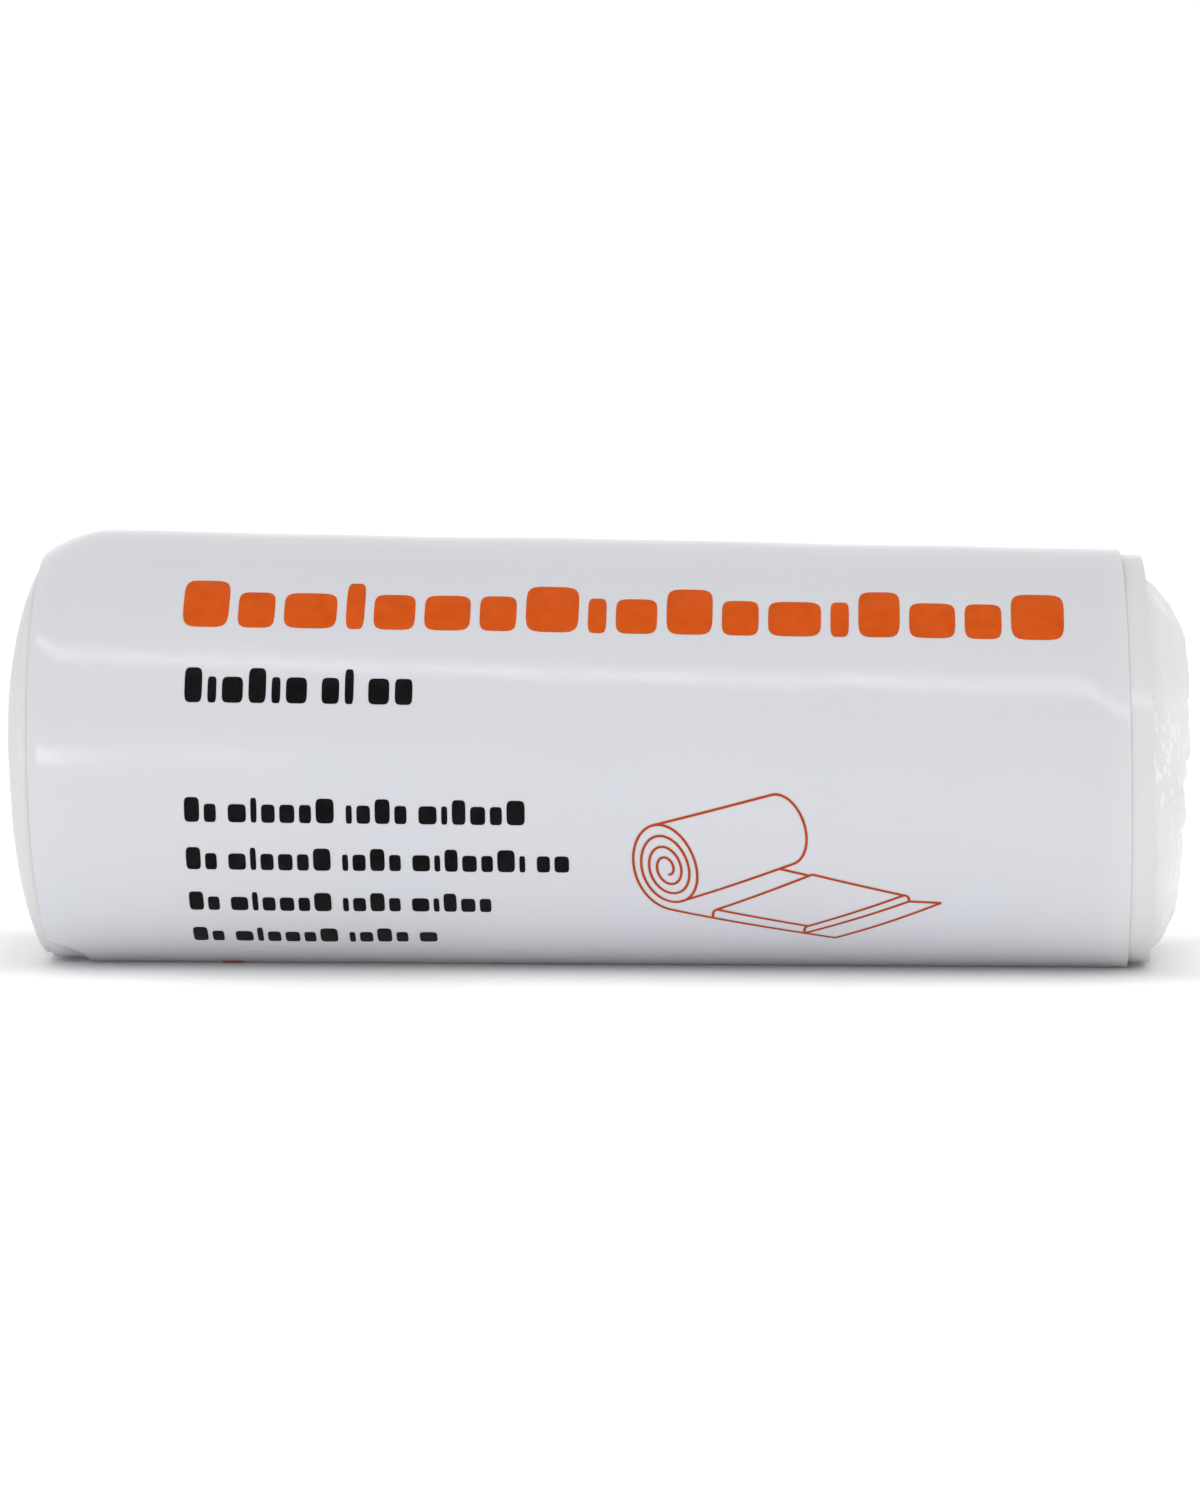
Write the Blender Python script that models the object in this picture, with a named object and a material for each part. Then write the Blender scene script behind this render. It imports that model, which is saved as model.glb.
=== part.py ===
"""A first-aid dressing packed for a kit: a bandage strip with its pad, rolled up, in two wraps of film.

The roll lies along X and rests on z = 0. Its middle is over the origin, and -Y is its printed front.
Every cross-section is the same outline, scaled about the line on the floor, because the roll is
a little thicker at its left end. A depth is measured inwards from the outermost film.
"""

import math

import bpy
import numpy as np

# Outline of the packed roll
ROLL_DIAMETER = 0.0293
END_DIFFERENCE = 0.0012
REST_WIDTH = 0.0076
CLEARANCE = 0.0003

# Bandage strip and its pad
STRIP_WIDTH = 0.075
STRIP_WALL = 0.0007
STRIP_END = math.radians(225)
TAIL_LENGTH = 0.058
CORE_RADIUS = 0.0016
PAD_LENGTH = 0.120
PAD_MARGIN = 0.001
PAD_WALL = 0.0014

# Inner film, a bag that is gathered and tucked in at both ends
BAG_WALL = 0.00025
BAG_LEFT_SPARE = 0.0009
BAG_LEFT_EDGE = 0.0012
BAG_RIGHT_SPARE = 0.0030
BAG_RIGHT_EDGE_TOP = 0.0046
BAG_RIGHT_EDGE_BOTTOM = 0.0030
BAG_RIGHT_TUCK = 0.0012
BAG_TUCK_RADIUS = 0.0055
BAG_MOUTH_RADIUS = 0.0015
PLEAT_COUNT = 8
PLEAT_DEPTH = 0.00025

# Printed film, wound round the bag
FILM_WIDTH = 0.0734
FILM_WALL = 0.00025
FILM_DRIFT = 0.0015
FILM_TURNS = 2
FILM_START = math.radians(250)
FILM_OVERLAP = math.radians(40)

# Pressed-in corner at the top of the left end
CORNER_DEPTH = 0.0014
CORNER_LENGTH = 0.0044
CORNER_HALF_ANGLE = math.radians(70)

# Steps of the facets
FILM_FACETS = 48
STRIP_FACETS = 36
EDGE_STEPS = 4

# Sizes that follow from the ones above
MIDDLE_RADIUS = ROLL_DIAMETER / 2
AXIS_HEIGHT = math.sqrt(MIDDLE_RADIUS**2 - (REST_WIDTH / 2) ** 2)
FLAT_DEPTH = MIDDLE_RADIUS - AXIS_HEIGHT
FULL_TURN = 2 * math.pi
FILM_PITCH = FILM_WALL + CLEARANCE
STRIP_PITCH = STRIP_WALL + CLEARANCE
BAG_DEPTH = FILM_TURNS * FILM_PITCH
ROLL_DEPTH = BAG_DEPTH + BAG_WALL + CLEARANCE

# Shares of the radius at which the outline's flat has faded out and an end cap has its rings
FLAT_FADE_SHARE = 0.55
CAP_RING_SHARES = (0.3, 0.52, 0.74)
# Shares of the pressed-in corner's length at which each sheet has a row of points
CORNER_ROW_SHARES = (0.0, 0.35, 0.68, 1.0)
# Where the right cap is fullest above the axis, and how much it falls off a radius away
BULGE_HEIGHT_SHARE = 0.25
BULGE_FALL_SHARE = 0.28
# Share of the left spare length by which that cap's middle stands out past its edge
CROWN_SHARE = 0.2


def smooth(share):
    """A ramp from 0 to 1 that starts and ends level."""
    held = np.clip(share, 0.0, 1.0)
    return held * held * (3 - 2 * held)


def taper(x):
    """How much larger the section at x is than the one at the middle."""
    return 1 - END_DIFFERENCE / ROLL_DIAMETER * x / STRIP_WIDTH


def corner_press(x, angle):
    """Share of the radius that the pressed-in corner takes away."""
    along = np.clip((x + STRIP_WIDTH / 2) / CORNER_LENGTH, 0.0, 1.0)
    from_top = np.abs(angle % FULL_TURN - math.pi)
    around = smooth(1 - from_top / CORNER_HALF_ANGLE)
    return CORNER_DEPTH / MIDDLE_RADIUS * (1 - along) ** 1.8 * around


def outline_radius(angle, depth):
    """Distance from the axis: a circle with a flat underneath, which fades out towards the core."""
    circle = MIDDLE_RADIUS - depth
    fade = np.clip(1 - depth / (FLAT_FADE_SHARE * MIDDLE_RADIUS), 0.0, 1.0)
    down = np.maximum(np.cos(angle), 1e-6)
    return np.minimum(circle, (circle - FLAT_DEPTH * fade) / down)


def place(x, angle, depth):
    """Points at x, at an angle that runs from the bottom up the front, at a depth under the outside."""
    x, angle, depth = np.broadcast_arrays(x, angle, depth)
    radius = outline_radius(angle, depth) * (1 - corner_press(x, angle))
    y = -radius * np.sin(angle)
    z = AXIS_HEIGHT - radius * np.cos(angle)
    scale = taper(x)
    return np.stack([x, y * scale, z * scale], axis=-1)


def finish(name, colour, roughness):
    """A plain material."""
    material = bpy.data.materials.new(name)
    material.use_nodes = True
    shader = material.node_tree.nodes["Principled BSDF"]
    shader.inputs["Base Color"].default_value = (*colour, 1.0)
    shader.inputs["Roughness"].default_value = roughness
    shader.inputs["Metallic"].default_value = 0.0
    return material


def walled_sheet(name, points, wall, material, closed=False):
    """One object from a grid of points on its outer face, with its wall inside that face.

    The first index runs round the roll in the direction of winding, the second along it.
    """
    around, along = points.shape[:2]
    index = np.arange(around * along).reshape(around, along)
    here = index if closed else index[:-1]
    there = np.roll(index, -1, axis=0) if closed else index[1:]
    corners = [here[:, :-1], here[:, 1:], there[:, 1:], there[:, :-1]]
    quads = np.stack(corners, axis=-1).reshape(-1, 4)
    mesh = bpy.data.meshes.new(name)
    mesh.from_pydata(points.reshape(-1, 3).tolist(), [], quads.tolist())
    mesh.shade_smooth()
    mesh.materials.append(material)
    piece = bpy.data.objects.new(name, mesh)
    bpy.context.collection.objects.link(piece)
    solidify = piece.modifiers.new("Wall", "SOLIDIFY")
    solidify.thickness = wall
    solidify.offset = -1
    solidify.use_even_offset = True
    return piece


def winding(first, last, facets):
    """Angles from first to last in even steps, with the two edges of the outline's flat among them."""
    edge = math.asin(REST_WIDTH / 2 / MIDDLE_RADIUS)
    turns = FULL_TURN * np.arange(math.floor(first / FULL_TURN), math.ceil(last / FULL_TURN) + 1)
    edges = np.sort(np.add.outer(turns, [-edge, edge]).ravel())
    stops = [first, *edges[(edges > first) & (edges < last)], last]
    angles = [first]
    for start, stop in zip(stops[:-1], stops[1:]):
        steps = math.ceil((stop - start) * facets / FULL_TURN)
        angles.extend(np.linspace(start, stop, steps + 1)[1:])
    return np.array(angles)


def rows_along(left, right):
    """x of a sheet's rows from its left edge to its right one, close together at the corner."""
    left, right = np.broadcast_arrays(left, right)
    corner_end = -STRIP_WIDTH / 2 + CORNER_LENGTH
    span = np.maximum(corner_end - left, CLEARANCE)
    rows = left[..., None] + span[..., None] * np.array(CORNER_ROW_SHARES)
    return np.concatenate([rows, right[..., None]], axis=-1)


def strip_depths():
    """Winding angles of the strip, counted inwards from its free end, and its depth at each.

    Each turn lies under the one before it. Where the pad is between the two, it lies deeper.
    """
    step = FULL_TURN / STRIP_FACETS
    pad_start, pad_end = pad_span()
    ramp = FULL_TURN / 5
    depths = [ROLL_DEPTH + STRIP_PITCH * i / STRIP_FACETS for i in range(STRIP_FACETS)]
    deepest = MIDDLE_RADIUS - CORE_RADIUS - STRIP_WALL
    for i in range(STRIP_FACETS, 100 * STRIP_FACETS):
        wound = (i - STRIP_FACETS) * step
        before = smooth((wound + step - pad_start) / ramp + 1)
        after = smooth((pad_end + step - wound) / ramp + 1)
        lift = before * after * (PAD_WALL + CLEARANCE)
        depth = depths[i - STRIP_FACETS] + STRIP_PITCH + lift
        if depth > deepest:
            break
        depths.append(depth)
    return np.arange(len(depths)) * step, np.array(depths)


def pad_span():
    """Angles at which the pad starts and ends, counted inwards from the strip's free end."""
    step = FULL_TURN / STRIP_FACETS
    radius = MIDDLE_RADIUS - ROLL_DEPTH - STRIP_PITCH
    start = math.ceil(TAIL_LENGTH / radius / step) * step
    middle = radius - STRIP_PITCH - PAD_WALL
    return start, start + round(PAD_LENGTH / middle / step) * step


def build_strip():
    """The bandage strip, a spiral seen from its ends."""
    wound, depths = strip_depths()
    rows = rows_along(-STRIP_WIDTH / 2, STRIP_WIDTH / 2)
    points = place(rows, (STRIP_END - wound)[::-1, None], depths[::-1, None])
    material = finish("bandage_cloth", (0.88, 0.87, 0.84), 0.9)
    return walled_sheet("bandage_strip", points, STRIP_WALL, material)


def build_pad():
    """The absorbent pad, which lies on the strip's inner face and is rolled up with it."""
    wound, depths = strip_depths()
    start, end = pad_span()
    held = (wound > start - 1e-6) & (wound < end + 1e-6)
    rows = rows_along(PAD_MARGIN - STRIP_WIDTH / 2, STRIP_WIDTH / 2 - PAD_MARGIN)
    pad_depths = depths[held] + STRIP_PITCH
    points = place(rows, (STRIP_END - wound[held])[::-1, None], pad_depths[::-1, None])
    material = finish("pad_cloth", (0.93, 0.93, 0.92), 0.95)
    return walled_sheet("compress_pad", points, PAD_WALL, material)


def left_cap_profile():
    """x and distance from the axis along the left cap, from its mouth to its round edge."""
    radius = MIDDLE_RADIUS - BAG_DEPTH
    crown = CROWN_SHARE * BAG_LEFT_SPARE
    end = -STRIP_WIDTH / 2 - BAG_LEFT_SPARE
    flat_radius = radius - BAG_LEFT_EDGE
    rings = np.array([BAG_MOUTH_RADIUS, *(share * flat_radius for share in CAP_RING_SHARES)])
    turn = np.linspace(0, math.pi / 2, EDGE_STEPS)
    edge_x = end + crown + BAG_LEFT_EDGE * (1 - np.cos(turn))
    edge_radius = flat_radius + BAG_LEFT_EDGE * np.sin(turn)
    x = np.concatenate([end + crown * (rings / flat_radius) ** 2, edge_x])
    return x, np.concatenate([rings, edge_radius])


def right_cap_profile(angle):
    """x and distance from the axis along the right cap at one angle, from its round edge to its mouth."""
    radius = MIDDLE_RADIUS - BAG_DEPTH
    upper = 0.5 - 0.5 * math.cos(angle)
    edge = BAG_RIGHT_EDGE_BOTTOM + (BAG_RIGHT_EDGE_TOP - BAG_RIGHT_EDGE_BOTTOM) * upper
    bulge = BAG_RIGHT_SPARE + CLEARANCE
    shoulder = STRIP_WIDTH / 2 - CLEARANCE
    turn = np.linspace(0, math.pi / 2, EDGE_STEPS + 1)
    flat_radius = radius - edge
    rings = np.array([*(share * flat_radius for share in CAP_RING_SHARES[::-1]), BAG_MOUTH_RADIUS])
    distance = np.concatenate([radius - edge * (1 - np.cos(turn)), rings])
    rise = np.concatenate([np.sin(turn), np.ones(len(rings))])
    height = -distance * math.cos(angle) / MIDDLE_RADIUS
    fullness = 1 - BULGE_FALL_SHARE * (height - BULGE_HEIGHT_SHARE) ** 2
    tuck = BAG_RIGHT_TUCK * smooth(1 - distance / BAG_TUCK_RADIUS)
    return shoulder + bulge * rise * fullness - tuck, distance


def build_bag():
    """The inner film: a sleeve whose ends are drawn together in pleats round a small mouth."""
    angles = winding(0.0, FULL_TURN, FILM_FACETS)[:-1]
    left_x, left_distance = left_cap_profile()
    sleeve_x = -STRIP_WIDTH / 2 + CORNER_LENGTH * np.array(CORNER_ROW_SHARES[1:])
    sleeve_distance = np.full(len(sleeve_x), MIDDLE_RADIUS - BAG_DEPTH)
    rings = []
    for angle in angles:
        right_x, right_distance = right_cap_profile(angle)
        x = np.concatenate([left_x, sleeve_x, right_x])
        distance = np.concatenate([left_distance, sleeve_distance, right_distance])
        share = distance / (MIDDLE_RADIUS - BAG_DEPTH)
        pleat = PLEAT_DEPTH * 4 * share * (1 - share) * math.cos(PLEAT_COUNT * angle)
        rings.append(place(x + np.sign(x) * pleat, angle, MIDDLE_RADIUS - distance))
    material = finish("inner_film", (0.87, 0.87, 0.88), 0.25)
    return walled_sheet("inner_film", np.stack(rings), BAG_WALL, material, closed=True)


def build_wrapper():
    """The printed film: wound on from behind, over its own start, and drifting left as it goes."""
    last = FILM_START + FILM_TURNS * FULL_TURN + FILM_OVERLAP
    angles = winding(FILM_START, last, FILM_FACETS)
    turn = (angles - FILM_START) / FULL_TURN
    level = np.floor(turn) + smooth((turn % 1.0 - 1) / (FILM_OVERLAP / FULL_TURN) + 1)
    depth = (FILM_TURNS - 1 - level) * FILM_PITCH
    drift = FILM_DRIFT * (FILM_TURNS - angles / FULL_TURN)
    rows = rows_along(drift - FILM_WIDTH / 2, drift + FILM_WIDTH / 2)
    points = place(rows, angles[:, None], depth[:, None])
    material = finish("printed_film", (0.82, 0.83, 0.86), 0.2)
    return walled_sheet("printed_wrapper", points, FILM_WALL, material)


def main():
    """Clear the scene and build the pieces from the inside out."""
    for item in list(bpy.data.objects):
        bpy.data.objects.remove(item, do_unlink=True)
    build_strip()
    build_pad()
    build_bag()
    build_wrapper()


main()
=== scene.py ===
"""Looks of a first-aid dressing packed as a roll, lying on a pale floor.

The roll lies along X and rests on z = 0, with its printed front towards -Y. Lengths are in metres.
An angle round the roll starts at the bottom and runs up the front, over the top and down the back.
A depth is measured inwards from the outermost film, towards the roll's axis.
"""

import logging
import math
from dataclasses import dataclass, field
from enum import Enum
from typing import Mapping, Sequence

import bmesh
import bpy
import numpy as np
from mathutils import Matrix, Vector


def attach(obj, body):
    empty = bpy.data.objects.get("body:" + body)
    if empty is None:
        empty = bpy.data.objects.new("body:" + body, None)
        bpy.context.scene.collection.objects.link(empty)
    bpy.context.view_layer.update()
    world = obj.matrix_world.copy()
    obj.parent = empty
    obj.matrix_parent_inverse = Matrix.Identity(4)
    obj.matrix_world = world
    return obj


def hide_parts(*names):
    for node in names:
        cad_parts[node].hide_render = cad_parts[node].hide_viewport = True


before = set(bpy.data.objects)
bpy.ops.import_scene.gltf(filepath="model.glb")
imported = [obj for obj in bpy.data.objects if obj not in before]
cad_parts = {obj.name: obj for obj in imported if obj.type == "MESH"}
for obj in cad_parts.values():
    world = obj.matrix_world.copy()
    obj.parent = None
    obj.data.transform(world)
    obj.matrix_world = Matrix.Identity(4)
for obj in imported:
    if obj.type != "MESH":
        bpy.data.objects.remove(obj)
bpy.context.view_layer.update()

Array = np.ndarray
Socket = bpy.types.NodeSocket
Piece = bpy.types.Object
Triple = tuple[float, float, float]
Pair = tuple[float, float]
Value = Socket | float | Sequence[float]
Stroke = tuple[Array, Array]

LOG = logging.getLogger("dressing")
MM = 0.001
FULL_TURN = 2 * math.pi
CREST_BEND = 0.35
CREST_TURNS = 3.1
FACET_SPREAD = (0.8, 1.7)
SHARP_ANGLE = math.radians(50)
SAME_PLACE = 0.001 * MM


class Slot(str, Enum):
    """The record's material slots."""

    STRIP = "bandage_cloth"
    PAD = "pad_cloth"
    BAG = "inner_film"
    WRAPPER = "printed_film"


class Ink(Enum):
    """Colours of the print, as linear red, green and blue."""

    ORANGE = (0.53, 0.073, 0.0035)
    RUST = (0.37, 0.048, 0.006)
    BLACK = (0.0015, 0.0015, 0.002)


def smooth(share: Array | float) -> Array:
    """A ramp that starts and ends level.

    Formula: 3 s^2 - 2 s^3 of the share s held between 0 and 1.

    Args:
        share: where along the ramp.

    Returns:
        Values from 0 to 1.
    """
    held = np.clip(share, 0.0, 1.0)
    return held * held * (3 - 2 * held)


def zigzag(phase: Array) -> Array:
    """A wave of straight flanks between -1 and 1, with one cycle for each whole number of the phase."""
    return 4 * np.abs(phase - np.floor(phase + 0.5)) - 1


def crumple(points: Array, size: float, layers: int, seed: int) -> Array:
    """Facets such as stiff film shows when it is crumpled.

    Formula: the mean of several zigzag waves, each along its own direction in space, with crests
    that wander because each wave's phase is bent by a slow sine of the place.

    Args:
        points: places, with x, y and z last.
        size: length of one facet.
        layers: number of waves.
        seed: start of the random directions.

    Returns:
        Heights between -1 and 1, one for each place.
    """
    chance = np.random.default_rng(seed)
    total = np.zeros(points.shape[:-1])
    for _ in range(layers):
        direction = chance.normal(size=3)
        direction /= np.linalg.norm(direction)
        sideways = np.cross(direction, chance.normal(size=3))
        bend = CREST_BEND * np.sin(points @ sideways * (CREST_TURNS / size) + chance.uniform(0, FULL_TURN))
        period = size * chance.uniform(*FACET_SPREAD)
        total += zigzag(points @ direction / period + bend + chance.uniform(0, 1))
    return total / layers


def grid_quads(around: int, along: int, closed: bool = False) -> Array:
    """Corners of the quads of a grid of points.

    Args:
        around: points along the first direction.
        along: points along the second direction.
        closed: whether the last row round joins the first.

    Returns:
        One row of four indices for each quad, facing the second direction turned to the first.
    """
    index = np.arange(around * along).reshape(around, along)
    here = index if closed else index[:-1]
    there = np.roll(index, -1, axis=0) if closed else index[1:]
    corners = [here[:, :-1], here[:, 1:], there[:, 1:], there[:, :-1]]
    return np.stack(corners, axis=-1).reshape(-1, 4)


def mesh_from(name: str, points: Array, quads: Array, uv: Array | None = None) -> Piece:
    """Puts arrays of points and quads into a smooth mesh object.

    Args:
        name: name of the piece.
        points: one row of x, y and z for each point.
        quads: one row of four indices for each face.
        uv: one row of two lengths for each point, or None.

    Returns:
        The new object, at the origin.
    """
    mesh = bpy.data.meshes.new(name)
    mesh.vertices.add(len(points))
    mesh.vertices.foreach_set("co", points.astype(np.float32).ravel())
    mesh.loops.add(quads.size)
    mesh.loops.foreach_set("vertex_index", quads.astype(np.int32).ravel())
    mesh.polygons.add(len(quads))
    mesh.polygons.foreach_set("loop_start", (np.arange(len(quads)) * 4).astype(np.int32))
    mesh.polygons.foreach_set("use_smooth", np.ones(len(quads), dtype=bool))
    mesh.update(calc_edges=True)
    if uv is not None:
        layer = mesh.uv_layers.new(name="Sheet")
        layer.data.foreach_set("uv", uv[quads.ravel()].astype(np.float32).ravel())
    piece = bpy.data.objects.new(name, mesh)
    bpy.context.scene.collection.objects.link(piece)
    return piece


def grid_piece(name: str, points: Array, closed: bool = False, uv: Array | None = None) -> Piece:
    """Puts a grid of points into a smooth mesh object.

    Args:
        name: name of the piece.
        points: places by row and column, with x, y and z last.
        closed: whether the last row round joins the first.
        uv: two lengths for each point, laid out as the points, or None.

    Returns:
        The new object, at the origin.
    """
    lengths = None if uv is None else uv.reshape(-1, 2)
    return mesh_from(name, points.reshape(-1, 3), grid_quads(*points.shape[:2], closed), lengths)


def close_poles(piece: Piece) -> None:
    """Joins the points of a grid that fall on one another, such as the last ring of a drawn-in end.

    Args:
        piece: the grid's piece.
    """
    form = bmesh.new()
    form.from_mesh(piece.data)
    bmesh.ops.remove_doubles(form, verts=form.verts, dist=SAME_PLACE)
    form.to_mesh(piece.data)
    form.free()


def thicken(piece: Piece, wall: float, even: bool = True) -> Piece:
    """Gives a sheet its wall inside its outer face, and sharp edges where it was cut.

    Args:
        piece: a sheet whose faces point outwards.
        wall: thickness of the wall.
        even: whether the wall keeps its thickness where faces meet at an angle.

    Returns:
        The same object, with a closed mesh.
    """
    solidify = piece.modifiers.new("Wall", "SOLIDIFY")
    solidify.thickness = wall
    solidify.offset = -1
    solidify.use_even_offset = even
    solved = piece.evaluated_get(bpy.context.evaluated_depsgraph_get())
    mesh = bpy.data.meshes.new_from_object(solved)
    piece.modifiers.clear()
    piece.data = mesh
    mesh.set_sharp_from_angle(angle=SHARP_ANGLE)
    return piece


def settle(piece: Piece, material: bpy.types.Material) -> None:
    """Dresses a finished piece and lets it ride on the only body.

    Args:
        piece: the finished piece.
        material: what it is dressed in.
    """
    piece.data.materials.clear()
    piece.data.materials.append(material)
    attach(piece, "root")
    LOG.info("%s: %d faces", piece.name, len(piece.data.polygons))


class Shader:
    """A material whose nodes are added one by one, around one Principled shader."""

    def __init__(self, name: str, coordinates: str = "Object") -> None:
        """Starts the material.

        Args:
            name: name of the material.
            coordinates: output of the Texture Coordinate node that its patterns read.
        """
        self.material = bpy.data.materials.new(name)
        self.material.use_nodes = True
        self.tree = self.material.node_tree
        self.surface = self.tree.nodes["Principled BSDF"]
        self.place = self.tree.nodes.new("ShaderNodeTexCoord").outputs[coordinates]

    def plug(self, value: Value, target: Socket) -> None:
        """Gives an input its value: another socket, or fixed numbers.

        Args:
            value: the socket or the numbers.
            target: the input.
        """
        if isinstance(value, Socket):
            self.tree.links.new(value, target)
        else:
            target.default_value = value

    def add(self, kind: str, inputs: Mapping[str | int, Value], **settings: object) -> bpy.types.Node:
        """Adds a node.

        Args:
            kind: the node's type.
            inputs: values of its inputs, by name or number.
            settings: its own properties.

        Returns:
            The new node.
        """
        node = self.tree.nodes.new(kind)
        for key, value in settings.items():
            setattr(node, key, value)
        for key, value in inputs.items():
            self.plug(value, node.inputs[key])
        return node

    def set(self, **values: Value) -> None:
        """Gives the shader's own inputs their values, with underscores for the spaces of their names."""
        for key, value in values.items():
            self.plug(value, self.surface.inputs[key.replace("_", " ")])

    def axis(self, name: str) -> Socket:
        """One coordinate of the place: X, Y or Z."""
        return self.add("ShaderNodeSeparateXYZ", {"Vector": self.place}).outputs[name]

    def noise(self, size: float, detail: float, stretch: Triple = (1, 1, 1)) -> Socket:
        """Soft patches of noise.

        Args:
            size: length of a patch.
            detail: how many finer layers it has.
            stretch: factor on the coordinates along each axis.

        Returns:
            Values around a half.
        """
        place = self.add("ShaderNodeMapping", {"Scale": stretch, "Vector": self.place}).outputs["Vector"]
        inputs = {"Scale": 1 / size, "Detail": detail, "Vector": place}
        return self.add("ShaderNodeTexNoise", inputs).outputs["Fac"]

    def ramp(self, value: Socket, start: float, end: float, low: float = 0.0, high: float = 1.0) -> Socket:
        """A ramp that starts and ends level.

        Args:
            value: what it reads.
            start: value at which it starts.
            end: value at which it ends.
            low: its level before the start.
            high: its level after the end.

        Returns:
            The ramp's level.
        """
        inputs = {"Value": value, 1: start, 2: end, 3: low, 4: high}
        node = self.add("ShaderNodeMapRange", inputs, interpolation_type="SMOOTHSTEP")
        return node.outputs["Result"]

    def spread(self, value: Socket, low: float = 0.0, high: float = 1.0) -> Socket:
        """The middle half of some noise spread over a range, level towards both ends."""
        return self.ramp(value, 0.25, 0.75, low, high)

    def near(self, middle: Triple, inner: float, outer: float) -> Socket:
        """How near a place is to a point: 1 within the inner distance and 0 past the outer one."""
        apart = self.add("ShaderNodeVectorMath", {0: self.place, 1: middle}, operation="DISTANCE")
        return self.ramp(apart.outputs["Value"], inner, outer, 1.0, 0.0)

    def math(self, operation: str, *values: Value) -> Socket:
        """The outcome of a Math node on one or more values, each of them fixed or from a socket."""
        return self.add("ShaderNodeMath", dict(enumerate(values)), operation=operation).outputs[0]

    def blend(self, share: Socket, first: Socket | Triple, second: Socket | Triple) -> Socket:
        """A colour between two, each of them fixed or from another socket, by a share."""
        first, second = (tint if isinstance(tint, Socket) else (*tint, 1) for tint in (first, second))
        return self.add("ShaderNodeMix", {0: share, 6: first, 7: second}, data_type="RGBA").outputs[2]

    def relief(self, height: Socket, depth: float, below: Socket | None = None) -> Socket:
        """A bump of a real depth, on top of another one if there is one.

        Args:
            height: values from 0 to 1.
            depth: the length that 1 stands for.
            below: the bump that this one adds to.

        Returns:
            The bumped direction of the surface.
        """
        inputs = {"Distance": depth, "Height": height}
        if below is not None:
            inputs["Normal"] = below
        return self.add("ShaderNodeBump", inputs).outputs["Normal"]


@dataclass(frozen=True)
class GlossyFilm:
    """The wrapper's white film: opaque, glossy, a little uneven in gloss, a cool tint in patches, painted
    light near both rims.
    """

    warm: Triple = (0.573, 0.581, 0.607)
    cool: Triple = (0.565, 0.576, 0.619)
    # Colour near both rims: painted light, lighter and less blue than the film itself.
    rim: Triple = (0.610, 0.612, 0.620)
    rim_middle: float = -1 * MM
    rim_light_from: float = 35 * MM
    rim_light_to: float = 38 * MM
    tint_size: float = 9 * MM
    ior: float = 1.58
    roughness: float = 0.17
    roughness_spread: float = 0.03
    ripple_size: float = 1.3 * MM
    ripple_depth: float = 0.018 * MM
    grain_size: float = 0.35 * MM
    grain_depth: float = 0.0006 * MM

    def material(self) -> bpy.types.Material:
        """Builds the film's material.

        Returns:
            The finished material.
        """
        shader = Shader("printed_film")
        film = shader.blend(shader.spread(shader.noise(self.tint_size, 1)), self.warm, self.cool)
        low, high = self.roughness - self.roughness_spread, self.roughness + self.roughness_spread
        ripple = shader.relief(shader.noise(self.ripple_size, 2, (0.5, 1, 1)), self.ripple_depth)
        shader.set(
            # Painted light: the film's colour turns lighter towards both rims.
            Base_Color=shader.blend(self._rim_light_share(shader), film, self.rim),
            Roughness=shader.spread(shader.noise(self.tint_size / 2, 3), low, high),
            Normal=shader.relief(shader.noise(self.grain_size, 2), self.grain_depth, ripple),
            IOR=self.ior,
        )
        return shader.material

    def _rim_light_share(self, shader: Shader) -> Socket:
        """Share of painted rim light, from 0 to 1: how near a place is to either rim, by its distance from
        the film's middle.
        """
        out = shader.math("ABSOLUTE", shader.math("SUBTRACT", shader.axis("X"), self.rim_middle))
        return shader.ramp(out, self.rim_light_from, self.rim_light_to)


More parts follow.
